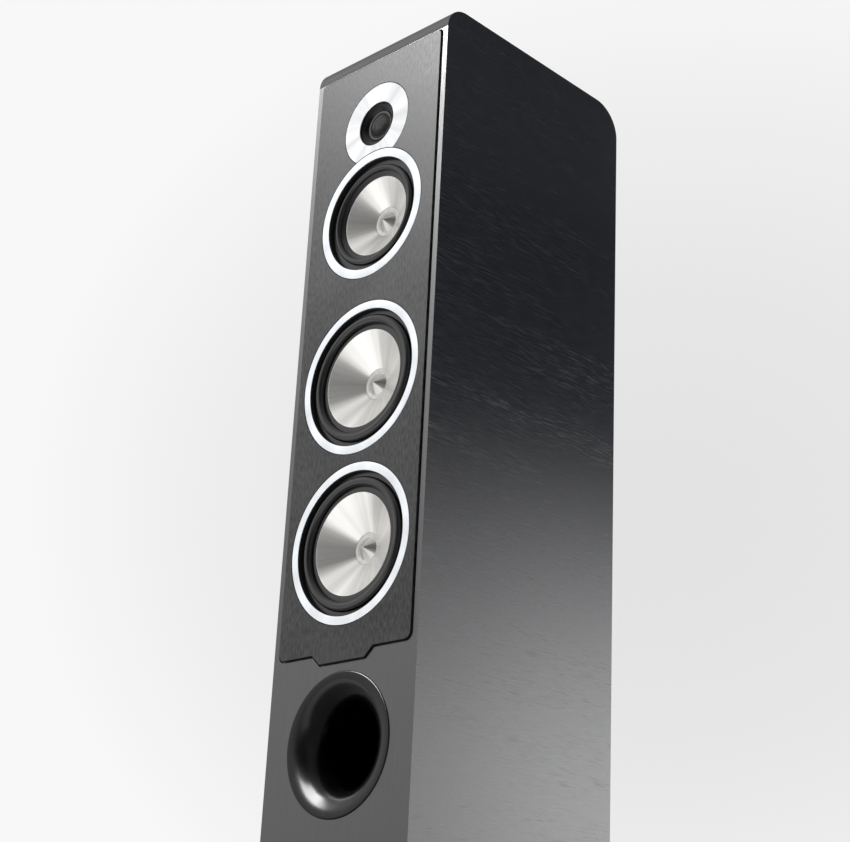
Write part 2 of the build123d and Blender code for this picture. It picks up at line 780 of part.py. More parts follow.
def make_base():
    """Plinth board, threaded inserts, lock nuts and four height-adjustable feet."""
    outline = RectangleRounded(PLINTH_WIDTH, PLINTH_DEPTH, PLINTH_CORNER)
    board = Pos(0, 0, FOOT_HEIGHT) * extrude(outline, PLINTH_THICK)
    rims = board.edges().group_by(Axis.Z)[-1]
    board = chamfer(rims, 2)
    insert_r = 7
    insert_flange = 10
    inserts, nuts = [], []
    nut_thick = 4
    for x_name, x in (("left", -FOOT_X), ("right", FOOT_X)):
        for y_name, y in (("front", -FOOT_Y), ("rear", FOOT_Y)):
            place = Pos(x, y, 0)
            board -= place * Pos(0, 0, FOOT_HEIGHT + PLINTH_THICK / 2) * Cylinder(insert_r, PLINTH_THICK + 2)
            sleeve = turned([
                (FOOT_THREAD_R + THREAD_CLEARANCE, FOOT_HEIGHT - 2),
                (insert_flange, FOOT_HEIGHT - 2),
                (insert_flange, FOOT_HEIGHT),
                (insert_r, FOOT_HEIGHT),
                (insert_r, FOOT_HEIGHT + PLINTH_THICK),
                (FOOT_THREAD_R + THREAD_CLEARANCE, FOOT_HEIGHT + PLINTH_THICK),
            ])
            inserts.append(place * sleeve)
            nut = extrude(RegularPolygon(7.5, 6), nut_thick)
            nut -= Cylinder(FOOT_THREAD_R + THREAD_CLEARANCE, 20)
            nuts.append(place * Pos(0, 0, FOOT_HEIGHT - 2 - nut_thick) * nut)
            foot = turned([
                (0, 0),
                (FOOT_BASE_R, 0),
                (FOOT_BASE_R + 0.8, 0.8),
                (FOOT_COLLAR_R, 11),
                (FOOT_COLLAR_R, 15),
                (FOOT_COLLAR_R - 1, 16),
                (FOOT_THREAD_R, 16),
                (FOOT_THREAD_R, FOOT_HEIGHT + PLINTH_THICK - 3),
                (FOOT_THREAD_R - 1, FOOT_HEIGHT + PLINTH_THICK - 2),
                (0, FOOT_HEIGHT + PLINTH_THICK - 2),
            ])
            keep(f"foot_{y_name}_{x_name}", place * foot)
    bolts = []
    head_depth = 6
    bolt_end = CABINET_BOTTOM + WALL - 3
    bolt = Pos(0, 0, FOOT_HEIGHT + 1) * extrude(Circle(5.5), head_depth - 1)
    bolt -= Pos(0, 0, FOOT_HEIGHT) * extrude(RegularPolygon(2.8, 6), 4)
    bolt += Pos(0, 0, FOOT_HEIGHT + head_depth) * extrude(Circle(BOLT_R), bolt_end - FOOT_HEIGHT - head_depth)
    for x in (-BOLT_X, BOLT_X):
        for y in BOLT_YS:
            place = Pos(x, y, 0)
            board -= place * Pos(0, 0, FOOT_HEIGHT) * extrude(Circle(6), head_depth)
            board -= place * Pos(0, 0, FOOT_HEIGHT) * extrude(Circle(BOLT_R), PLINTH_THICK)
            bolts.append(place * bolt)
    keep("plinth", board)
    keep("foot_inserts", Compound(children=inserts))
    keep("foot_lock_nuts", Compound(children=nuts))
    keep("plinth_bolts", Compound(children=bolts))


# ---------------------------------------------------------------- crossover, wiring and damping

def make_crossover():
    """Circuit board on the cabinet's floor with its coils and capacitors."""
    floor = CABINET_BOTTOM + WALL
    board_y, top = BOARD_Y, BOARD_TOP
    stand_off = top - BOARD_THICK - floor
    board = Pos(0, board_y, top - BOARD_THICK) * extrude(RectangleRounded(150, 190, 3), BOARD_THICK)
    leg = Pos(0, 0, floor) * extrude(Circle(4), stand_off)
    for x in (-66, 66):
        for y in (-86, 86):
            board += Pos(x, board_y + y, 0) * leg
    keep("crossover_board", board)
    coils = []
    sizes = ((-45, -60, 24, 22), (40, -62, 26, 24), (-44, 62, 20, 18), (8, 4, 16, 14))
    for x, y, radius, height in sizes:
        coils.append(Pos(x, board_y + y, top) * turned([
            (radius * 0.4, 0),
            (radius - 2, 0),
            (radius, 2),
            (radius, height - 2),
            (radius - 2, height),
            (radius * 0.4, height),
        ]))
    keep("crossover_inductors", Compound(children=coils))
    caps = []
    sizes = ((-50, 12, 11, 42), (46, 6, 12, 46), (34, 50, 10, 38), (2, 62, 8, 34), (60, 68, 6, 26))
    for x, y, radius, length in sizes:
        can = Cylinder(radius, length)
        can = chamfer(can.edges().filter_by(GeomType.CIRCLE), 1)
        caps.append(Pos(x, board_y + y, top + radius) * Rot(X=90) * can)
    keep("crossover_capacitors", Compound(children=caps))


def lead(points):
    """Insulated twin lead along a route of straight runs and round turns."""
    route = FilletPolyline(*points, radius=LEAD_TURN)
    start = Plane(origin=route @ 0, z_dir=route % 0)
    return sweep(start * Circle(LEAD_R), path=route)


def make_wiring():
    """Leads from the board up to each driver's terminals, and from the posts down to the board."""
    leads = []
    ends = [(height, -TAG_X, RING_Y + neck(spec) + GAP_DEPTH) for spec, height in CONE_DRIVERS]
    ends.append((TWEETER_Z, -TWEETER_LEAD_X, RING_Y + TWEETER["seat"] + 3))
    for index, (height, end_x, end_y) in enumerate(ends):
        x = -24 + index * 7
        y = BOARD_Y + 33
        leads.append(lead([(x, y, BOARD_TOP), (x, y, height), (end_x, y, height), (end_x, end_y, height)]))
    drop_y = REAR_Y - 50
    for sign in (-1, 1):
        x = sign * POST_SPACING / 2
        tail = REAR_Y - POST_TAIL
        leads.append(lead([(x, tail, TERMINAL_Z), (x, drop_y, TERMINAL_Z), (x, drop_y, BOARD_TOP)]))
    return Compound(children=leads)


def make_wadding():
    """Two slabs of fibre wadding against the rear wall, between the braces."""
    thick = 45
    slabs = []
    for low, high in zip(BRACE_HEIGHTS[1:], BRACE_HEIGHTS[:-1]):
        tall = high - low - BRACE_THICK - 20
        middle = (high + low + BRACE_THICK) / 2
        slab = Box(2 * INNER_HALF - 12, thick, tall)
        slab = fillet(slab.edges().filter_by(Axis.Y), 8)
        slabs.append(Pos(0, REAR_Y - WALL - thick / 2, middle) * slab)
    return Compound(children=slabs)


def main():
    """Builds every sub-part and writes one STEP file for each."""
    side_right, side_left, front, rear, top, bottom = make_cabinet()
    keep("side_panel_right", side_right)
    keep("side_panel_left", side_left)
    keep("top_panel", top)
    for x in (-BOLT_X, BOLT_X):
        for y in BOLT_YS:
            bottom -= Pos(x, y, CABINET_BOTTOM) * extrude(Circle(BOLT_R), WALL - 3)
    keep("bottom_panel", bottom)
    keep("front_baffle", make_front_baffle(front))
    keep("baffle_plate", chamfered_plate())
    keep("window_braces", make_braces())
    keep("midrange_chamber", make_chamber())

    magnets, plates, yokes = [], [], []
    driver_names = ("midrange", "upper_woofer", "lower_woofer")
    for name, (spec, height) in zip(driver_names, CONE_DRIVERS):
        magnet, plate, yoke = make_cone_driver(name, spec, height)
        magnets.append(magnet)
        plates.append(plate)
        yokes.append(yoke)
    magnet, plate, yoke = make_tweeter()
    keep("driver_magnets", Compound(children=magnets + [magnet]))
    keep("driver_front_plates", Compound(children=plates + [plate]))
    keep("driver_yokes", Compound(children=yokes + [yoke]))

    screws = []
    for spec, height in CONE_DRIVERS:
        screws += [on_front(s, height) for s in around(make_screw(), spec["screw_r"], SCREW_ANGLES)]
    tweeter_screws = around(make_screw(), TWEETER["screw_r"], TWEETER_SCREW_ANGLES)
    screws += [on_front(s, TWEETER_Z) for s in tweeter_screws]

    make_port()
    rear, terminal_screws = make_terminals(rear)
    keep("rear_panel", rear)
    keep("wood_screws", Compound(children=screws + terminal_screws))
    make_base()
    make_crossover()
    keep("internal_wiring", make_wiring())
    keep("damping_wadding", make_wadding())

    os.makedirs("parts", exist_ok=True)
    for name, shape in parts.items():
        export_step(shape, f"parts/{name}.step")


main()
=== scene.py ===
import json
import math

import bmesh
import bpy
import numpy as np
from mathutils import Matrix, Vector, noise


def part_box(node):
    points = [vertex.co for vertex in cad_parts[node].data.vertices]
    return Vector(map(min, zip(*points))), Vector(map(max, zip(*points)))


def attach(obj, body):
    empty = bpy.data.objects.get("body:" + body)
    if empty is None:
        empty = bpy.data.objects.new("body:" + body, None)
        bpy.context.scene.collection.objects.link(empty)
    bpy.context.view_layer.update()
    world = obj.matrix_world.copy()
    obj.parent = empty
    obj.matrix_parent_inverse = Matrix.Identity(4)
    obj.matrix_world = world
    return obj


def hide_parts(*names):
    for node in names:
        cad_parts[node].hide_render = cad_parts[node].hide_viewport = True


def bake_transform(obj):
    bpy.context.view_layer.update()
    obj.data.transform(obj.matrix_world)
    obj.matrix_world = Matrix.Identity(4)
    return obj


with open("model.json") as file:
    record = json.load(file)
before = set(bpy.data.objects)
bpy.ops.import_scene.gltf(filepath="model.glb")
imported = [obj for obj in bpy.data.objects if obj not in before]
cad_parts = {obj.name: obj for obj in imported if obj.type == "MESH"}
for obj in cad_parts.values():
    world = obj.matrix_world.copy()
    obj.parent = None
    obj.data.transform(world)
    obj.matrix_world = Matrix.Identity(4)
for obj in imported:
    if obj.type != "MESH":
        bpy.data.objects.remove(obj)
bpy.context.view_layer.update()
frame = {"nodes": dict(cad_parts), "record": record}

MM = 0.001
CABINET = "cabinet"
CONE_DRIVERS = ("midrange", "upper_woofer", "lower_woofer")
nodes = frame["nodes"]


# ---------------------------------------------------------------- node graphs

class Graph:
    """Short forms for making a node tree."""

    def __init__(self, tree):
        tree.nodes.clear()
        self.tree = tree

    def node(self, kind, inputs=None, **settings):
        made = self.tree.nodes.new(kind)
        for key, value in settings.items():
            setattr(made, key, value)
        for key, value in (inputs or {}).items():
            if isinstance(value, bpy.types.NodeSocket):
                self.tree.links.new(value, made.inputs[key])
            else:
                made.inputs[key].default_value = value
        return made

    def math(self, operation, a, b=0.0):
        return self.node("ShaderNodeMath", {0: a, 1: b}, operation=operation).outputs[0]

    def vector(self, operation, a, b=(0, 0, 0)):
        return self.node("ShaderNodeVectorMath", {0: a, 1: b}, operation=operation).outputs[0]

    def dot(self, a, b):
        return self.node("ShaderNodeVectorMath", {0: a, 1: b}, operation="DOT_PRODUCT").outputs["Value"]

    def remap(self, value, low, high, out_low=0.0, out_high=1.0, smooth=True):
        kind = "SMOOTHSTEP" if smooth else "LINEAR"
        ends = {"Value": value, "From Min": low, "From Max": high, "To Min": out_low, "To Max": out_high}
        return self.node("ShaderNodeMapRange", ends, interpolation_type=kind).outputs[0]

    def noise(self, vector, scale, detail=4.0, roughness=0.5):
        values = {"Vector": vector, "Scale": scale, "Detail": detail, "Roughness": roughness}
        return self.node("ShaderNodeTexNoise", values).outputs[0]

    def mix(self, share, a, b):
        made = self.node("ShaderNodeMix", {}, data_type="RGBA")
        for index, value in ((0, share), (6, a), (7, b)):
            if isinstance(value, bpy.types.NodeSocket):
                self.tree.links.new(value, made.inputs[index])
            else:
                made.inputs[index].default_value = value
        return made.outputs[2]

    def bump(self, height, distance):
        values = {"Height": height, "Distance": distance, "Strength": 1.0}
        return self.node("ShaderNodeBump", values).outputs[0]

    def place(self):
        return self.node("ShaderNodeTexCoord").outputs["Object"]


def rgba(colour, factor=1.0):
    return (colour[0] * factor, colour[1] * factor, colour[2] * factor, 1.0)


def shader(name):
    """A new material and its graph."""
    material = bpy.data.materials.new(name)
    material.use_nodes = True
    return material, Graph(material.node_tree)


def close(g, material, **inputs):
    """Ends a material with one Principled shader. An underscore in a name stands for a space."""
    values = {key.replace("_", " "): value for key, value in inputs.items()}
    surface = g.node("ShaderNodeBsdfPrincipled", values)
    g.node("ShaderNodeOutputMaterial", {"Surface": surface.outputs[0]})
    return material


def finish(name, colour, grain, vary=0.2, rough=0.5, rough_vary=0.12, depth=0.00005, detail=5.0, **more):
    """A grained surface. Noise stretched by grain (cycles per metre on x, y and z) drives colour, roughness
    and bump."""
    material, g = shader(name)
    place = g.place()
    fine = g.noise(g.vector("MULTIPLY", place, grain), 1.0, detail, 0.6)
    broad = g.noise(place, 14.0, 3.0)
    shade = g.math("ADD", g.math("MULTIPLY", fine, 0.75), g.math("MULTIPLY", broad, 0.25))
    ramp = g.remap(shade, 0.3, 0.7)
    base = g.mix(ramp, rgba(colour, 1 - vary), rgba(colour, 1 + vary))
    roughness = g.remap(shade, 0.25, 0.75, rough - rough_vary, rough + rough_vary, False)
    normal = g.bump(fine, depth)
    return close(g, material, Base_Color=base, Roughness=roughness, Normal=normal, **more)


GRAIN_WANDER = 0.004  # metres that the grain strays from a straight line


def veneer(name, colour, along, lift, rough, depth, **more):
    """Stained wood under lacquer. Pores and short flecks run along one axis: 0 for x, 1 for y, 2 for z."""
    material, g = shader(name)
    place = g.place()
    bend = g.noise(place, 5.0, 2.0)
    drift = g.node("ShaderNodeTexNoise", {"Vector": place, "Scale": 6.0}).outputs["Color"]
    moved = g.vector("ADD", place, g.vector("MULTIPLY", drift, (GRAIN_WANDER,) * 3))

    def grain(across, lengthwise, detail, roughness):
        """Noise with this many cycles per metre across and along the grain."""
        cycles = [across] * 3
        cycles[along] = lengthwise
        return g.noise(g.vector("MULTIPLY", moved, tuple(cycles)), 1.0, detail, roughness)

    fine = grain(850.0, 42.0, 3.0, 0.55)
    fleck = grain(620.0, 34.0, 2.0, 0.5)
    band = grain(26.0, 2.5, 4.0, 0.6)
    mask = g.math("MULTIPLY", g.remap(fleck, 0.5, 0.72), g.remap(band, 0.35, 0.65))
    shade = g.math("ADD", g.math("MULTIPLY", g.remap(fine, 0.35, 0.7), 0.4), g.math("MULTIPLY", mask, 0.6))
    toned = g.mix(g.remap(bend, 0.3, 0.7), rgba(colour, 0.9), rgba(colour, 1.1))
    base = g.mix(shade, toned, rgba(colour, lift))
    roughness = g.remap(fine, 0.3, 0.7, rough - 0.05, rough + 0.07, False)
    cut = g.math("MULTIPLY", g.remap(fine, 0.56, 0.7), g.remap(band, 0.4, 0.62))
    height = g.math("SUBTRACT", g.math("MULTIPLY", fine, 0.5), cut)
    normal = g.bump(height, depth)
    return close(g, material, Base_Color=base, Roughness=roughness, Normal=normal, Coat_Normal=normal, **more)


GROOVES = 2600.0  # tool marks per metre of radius
GROOVE_DEPTH = 0.000006


def spun_metal(name, colour, rough, painted_wedge, painted_streak, anisotropy, centre=(0, 0, 0)):
    """Turned metal. Circular tool marks spread the reflections along the radius. The colour round it holds
    painted reflection, broad bright and grey wedges and fine radial streaks, over a faint tone from the tool
    marks."""
    material, g = shader(name)
    local = g.vector("SUBTRACT", g.place(), centre)
    flat = g.vector("MULTIPLY", local, (1, 0, 1))
    radial = g.vector("NORMALIZE", flat)
    radius = g.node("ShaderNodeVectorMath", {0: flat}, operation="LENGTH").outputs["Value"]
    # painted reflection: broad bright and grey wedges round the centre, painted into the colour
    wedge_reflection = g.noise(radial, 2.3, 2.0, 0.5)
    # painted reflection: fine radial streaks in the colour; the same noise also varies the roughness
    reflection_rays = g.noise(radial, 26.0, 3.0, 0.7)
    grooves = g.node("ShaderNodeCombineXYZ", {0: g.math("MULTIPLY", radius, GROOVES)}).outputs[0]
    rings = g.noise(grooves, 1.0, 3.0, 0.7)
    # painted reflection wedges and streaks, plus a faint real tone from the tool marks, set the colour
    reflection_and_tool_marks = g.math("ADD", g.math("MULTIPLY", g.math("SUBTRACT", wedge_reflection, 0.5), painted_wedge),
                    g.math("MULTIPLY", g.math("SUBTRACT", reflection_rays, 0.5), painted_streak))
    reflection_and_tool_marks = g.math("ADD", reflection_and_tool_marks, g.math("MULTIPLY", g.math("SUBTRACT", rings, 0.5), 0.08))
    base = g.mix(g.remap(reflection_and_tool_marks, -0.5, 0.5, smooth=False), rgba(colour, 0.55), rgba(colour, 1.12))
    roughness = g.remap(reflection_rays, 0.3, 0.7, rough - 0.03, rough + 0.05, False)
    return close(g, material, Base_Color=base, Roughness=roughness, Metallic=1.0, Tangent=radial,
                 Anisotropic=anisotropy, Normal=g.bump(rings, GROOVE_DEPTH))


def woven(name, colour, pitch, rough=0.8, **more):
    """Cloth with straight crossing threads. Its colour is darker in the weave's hollows and lighter on its
    crossings as painted shade and highlight, over a random fuzz tone.
    """
    material, g = shader(name)
    place = g.place()
    waves = []
    for axis in ((1, 0, 0), (0, 0, 1)):
        turn = g.math("MULTIPLY", g.dot(place, axis), 2 * math.pi / pitch)
        waves.append(g.math("SINE", turn))
    weave = g.math("MULTIPLY", waves[0], waves[1])
    fuzz = g.noise(place, 900.0, 4.0)
    height = g.math("ADD", g.math("MULTIPLY", weave, 0.5), fuzz)
    # painted shade and highlight: darker where the weave dips, lighter where it rises, with the fuzz as
    # random tone
    base = g.mix(g.remap(height, 0.0, 1.2), rgba(colour, 0.65), rgba(colour, 1.2))
    roughness = g.remap(fuzz, 0.3, 0.7, rough - 0.08, min(rough + 0.08, 1.0), False)
    normal = g.bump(height, pitch * 0.25)
    return close(g, material, Base_Color=base, Roughness=roughness, Normal=normal, **more)


ENAMEL_ROUGH = 0.3


def wound(name, colour, pitch, axis, **more):
    """Enamelled wire laid side by side along an axis, with painted shade darkening the grooves between the
    turns.
    """
    material, g = shader(name)
    place = g.place()
    turn = g.math("MULTIPLY", g.dot(place, axis), 2 * math.pi / pitch)
    wire = g.math("SINE", turn)
    tone = g.noise(place, 120.0, 3.0)
    # painted shade: the colour darkens to a quarter in the grooves between the turns
    base = g.mix(g.remap(wire, -1.0, 0.3), rgba(colour, 0.25), rgba(colour, 1.0))
    base = g.mix(g.remap(tone, 0.3, 0.7, 0.0, 0.35), base, rgba(colour, 0.5))
    roughness = g.remap(tone, 0.3, 0.7, ENAMEL_ROUGH, ENAMEL_ROUGH + 0.15, False)
    return close(g, material, Base_Color=base, Roughness=roughness, Normal=g.bump(wire, pitch * 0.2), **more)


tweeter_low, tweeter_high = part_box("tweeter_dome")
TWEETER_CENTRE = (tweeter_low + tweeter_high) / 2

EVEN = (600.0, 600.0, 600.0)  # grain of the same size every way
MATERIALS = {
    "cabinet_veneer": veneer("side_grain", (0.0205, 0.022, 0.0265), 1, 1.9, 0.2, 0.00005,
                             Coat_Weight=0.35, Coat_Roughness=0.12),
    "cross_veneer": veneer("cross_grain", (0.020, 0.0215, 0.026), 0, 2.2, 0.26, 0.00004,
                           Coat_Weight=0.35, Coat_Roughness=0.12),
    "front_veneer": veneer("upright_grain", (0.014, 0.0143, 0.0158), 2, 2.6, 0.42, 0.00006,
                           Specular_IOR_Level=0.9, Coat_Weight=0.15, Coat_Roughness=0.12),
    "plate_finish": finish("plate_brushed", (0.030, 0.030, 0.031), (430.0, 200.0, 120.0), 0.8, 0.42, 0.08,
                           0.00012, 3.0, Specular_IOR_Level=0.3),
    # Turned metals: the fourth and fifth numbers give the strengths of the painted reflection wedges and
    # streaks.
    "bright_aluminium": spun_metal("ring_turned", (0.91, 0.935, 0.97), 0.14, 0.8, 0.12, 0.7),
    "tweeter_aluminium": spun_metal("face_turned", (0.92, 0.93, 0.945), 0.28, 1.3, 0.5, 0.7,
                                    tuple(TWEETER_CENTRE)),
    "cone_aluminium": spun_metal("cone_spun", (0.9, 0.885, 0.855), 0.3, 1.2, 0.2, 0.8),
    "cap_aluminium": spun_metal("cap_spun", (0.62, 0.61, 0.585), 0.26, 0.6, 0.2, 0.8),
    "surround_rubber": finish("rubber", (0.002, 0.002, 0.0021), EVEN, 0.3, 0.3, 0.05, 0.00003, 6.0,
                              Specular_IOR_Level=0.6),
    "black_plastic": finish("satin_black", (0.002, 0.002, 0.0022), EVEN, 0.3, 0.26, 0.05, 0.00002, 6.0,
                            Specular_IOR_Level=0.25),
    "gloss_black": finish("lacquer_black", (0.001, 0.001, 0.0012), (90.0, 90.0, 90.0), 0.3, 0.22, 0.03,
                          0.00002, 2.0, Specular_IOR_Level=0.25),
    "dome_fabric": woven("dome_weave", (0.003, 0.003, 0.0035), 0.0005, 0.4, Specular_IOR_Level=0.25),
    "grey_ring": finish("warm_grey", (0.2, 0.195, 0.18), EVEN, 0.15, 0.4),
    "cast_frame": finish("powder_coat", (0.018, 0.018, 0.019), (1400.0, 1400.0, 1400.0), 0.3, 0.55, 0.08,
                         0.00012),
    "copper_coil": wound("copper_wire", (0.62, 0.25, 0.11), 0.0005, (0, 1, 0), Metallic=1.0),
    "inductor_copper": wound("inductor_wire", (0.62, 0.25, 0.11), 0.0012, (0, 0, 1), Metallic=1.0),
    "spider_cloth": woven("treated_cloth", (0.5, 0.31, 0.1), 0.0009),
    "ferrite": finish("sintered", (0.045, 0.045, 0.05), (1100.0, 1100.0, 1100.0), 0.3, 0.7, 0.1, 0.0001),
    "plated_steel": finish("zinc", (0.56, 0.56, 0.53), (300.0, 300.0, 300.0), 0.12, 0.34, 0.1, 0.00003,
                           Metallic=1.0),
    "mdf": finish("fibreboard", (0.36, 0.24, 0.14), (500.0, 500.0, 500.0), 0.3, 0.85, 0.08, 0.0001),
    "plinth_finish": finish("satin_plinth", (0.012, 0.012, 0.013), (900.0, 60.0, 900.0), 0.35, 0.34, 0.06,
                            0.00003, Coat_Weight=0.3, Coat_Roughness=0.2),
    "foot_metal": finish("satin_chrome", (0.72, 0.72, 0.74), (150.0, 150.0, 2400.0), 0.08, 0.22, 0.06,
                         0.00002, Metallic=1.0),
    "gold_post": finish("gold_plate", (0.9, 0.62, 0.24), (400.0, 400.0, 400.0), 0.08, 0.2, 0.06, 0.00001,
                        Metallic=1.0),
    "clear_red": finish("red_cap", (0.32, 0.006, 0.006), (300.0, 300.0, 300.0), 0.2, 0.16, 0.05, 0.00001,
                        Coat_Weight=0.6, Coat_Roughness=0.05),
    "clear_black": finish("black_cap", (0.01, 0.01, 0.011), (300.0, 300.0, 300.0), 0.2, 0.16, 0.05, 0.00001,
                          Coat_Weight=0.6, Coat_Roughness=0.05),
    "board_green": finish("solder_mask", (0.015, 0.11, 0.045), (300.0, 300.0, 300.0), 0.25, 0.35, 0.08,
                          0.00004),
    "capacitor_film": finish("wrapped_film", (0.5, 0.38, 0.06), (120.0, 900.0, 120.0), 0.18, 0.25, 0.06,
                             0.00003),
    "lead_sheath": finish("sheath", (0.22, 0.02, 0.02), (500.0, 500.0, 500.0), 0.2, 0.5, 0.08, 0.00004),
    "wadding": finish("fibre", (0.7, 0.69, 0.64), (420.0, 420.0, 420.0), 0.22, 0.95, 0.04, 0.0006, 8.0),
}

RECORD_SLOT = {m["node"]: m["material_slot"] for m in frame["record"]["subparts"]}
OVERRIDE = {
    "top_panel": "cross_veneer",
    "tweeter_faceplate": "tweeter_aluminium",
    "crossover_inductors": "inductor_copper",
}
for label, made in nodes.items():
    chosen = MATERIALS[OVERRIDE.get(label, RECORD_SLOT[label])]
    if not made.material_slots:
        made.data.materials.append(chosen)
    for slot in made.material_slots:
        slot.material = chosen


# ---------------------------------------------------------------- turned pieces

def arc(a, middle, b, steps):
    """Points on the circle through three points, from a to b."""
    (ax, ay), (mx, my), (bx, by) = a, middle, b
    d = 2 * (ax * (my - by) + mx * (by - ay) + bx * (ay - my))
    sa, sm, sb = ax * ax + ay * ay, mx * mx + my * my, bx * bx + by * by
    cx = (sa * (my - by) + sm * (by - ay) + sb * (ay - my)) / d
    cy = (sa * (bx - mx) + sm * (ax - bx) + sb * (mx - ax)) / d
    radius = math.hypot(ax - cx, ay - cy)
    first = math.atan2(ay - cy, ax - cx)
    turn_mid = (math.atan2(my - cy, mx - cx) - first) % (2 * math.pi)
    turn_end = (math.atan2(by - cy, bx - cx) - first) % (2 * math.pi)
    if turn_mid > turn_end:
        turn_end -= 2 * math.pi
    angles = [first + turn_end * i / steps for i in range(steps + 1)]
    return [(cx + radius * math.cos(t), cy + radius * math.sin(t)) for t in angles]


EASE_STEPS = 3


def rounded(points, radius):
    """The closed outline with its corners eased. Corners on the axis stay sharp."""
    out = []
    for i, point in enumerate(points):
        before, here = Vector(points[i - 1]), Vector(point)
        after = Vector(points[(i + 1) % len(points)])
        to_before, to_after = before - here, after - here
        if here.x < 1e-6 or to_before.angle(to_after) > math.radians(160):
            out.append(tuple(here))
            continue
        cut_a = min(radius, 0.4 * to_before.length)
        cut_b = min(radius, 0.4 * to_after.length)
        start, end = here + to_before.normalized() * cut_a, here + to_after.normalized() * cut_b
        for k in range(EASE_STEPS + 1):
            t = k / EASE_STEPS
            out.append(tuple((1 - t) ** 2 * start + 2 * t * (1 - t) * here + t * t * end))
    return out


def lathe(name, outline, centre, material, steps=256, sharp=34.0):
    """Closed solid turned about the Y axis through centre, from (radius, depth) points in millimetres."""
    angles = np.arange(steps) * 2 * math.pi / steps
    rows, points = [], []
    for radius, depth in outline:
        if radius < 1e-6:
            rows.append([len(points)] * steps)
            points.append((0.0, depth * MM, 0.0))
            continue
        rows.append(list(range(len(points), len(points) + steps)))
        points += [(radius * MM * math.cos(t), depth * MM, radius * MM * math.sin(t)) for t in angles]
    faces = []
    for i, row in enumerate(rows):
        following = rows[(i + 1) % len(rows)]
        for k in range(steps):
            j = (k + 1) % steps
            corners = [row[k], row[j], following[j], following[k]]
            unique = list(dict.fromkeys(corners))
            if len(unique) > 2:
                faces.append(unique)
    mesh = bpy.data.meshes.new(name)
    mesh.from_pydata(points, [], faces)
    tidy_mesh = bmesh.new()
    tidy_mesh.from_mesh(mesh)
    bmesh.ops.recalc_face_normals(tidy_mesh, faces=tidy_mesh.faces)
    tidy_mesh.to_mesh(mesh)
    tidy_mesh.free()
    mesh.shade_smooth()
    mesh.set_sharp_from_angle(angle=math.radians(sharp))
    mesh.materials.append(MATERIALS[material])
    made = bpy.data.objects.new(name, mesh)
    bpy.context.scene.collection.objects.link(made)
    made.location = centre
    return made


def spans(node, centre):
    """(outer radius, front depth, rear depth) of a round CAD node, in millimetres, from a centre."""
    low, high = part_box(node)
    return (high.x - low.x) / 2 / MM, (low.y - centre.y) / MM, (high.y - centre.y) / MM


def flexes(piece):
    """Bakes the piece's placement into its mesh and reads its vertex positions, which nothing uses further.
    """
    bpy.context.view_layer.update()
    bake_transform(piece)
    values = np.zeros(len(piece.data.vertices) * 3)
    piece.data.vertices.foreach_get("co", values)


# Millimetres. Depths run back from the ring's face. land is the surround's flat rim, rise its roll's height.
WOOFER = {"ring_in": 80.5, "land": 6.2, "roll_out": 75.0, "roll_in": 63.5, "rise": 5.6, "cone_front": 5.6,
          "cone_depth": 22.0, "cap_r": 18.0, "coil_r": 16.0}
MIDRANGE = {"ring_in": 69.7, "land": 6.2, "roll_out": 62.5, "roll_in": 54.5, "rise": 4.2, "cone_front": 8.6,
            "cone_depth": 18.5, "cap_r": 17.9, "coil_r": 15.6}
RUBBER = 1.0  # thickness of a surround
SKIN = 0.8  # thickness of a cone and its cap
GAP = 0.3  # between a surround and its cone
RING_EASE = 0.45
ROLL_STEPS = 28
SPIDER_CLOTH = 0.6
SPIDER_RIM = 3.0
SPIDER_WAVES = 5
SPIDER_LIFT = 0.95
SPIDER_STEPS = 60


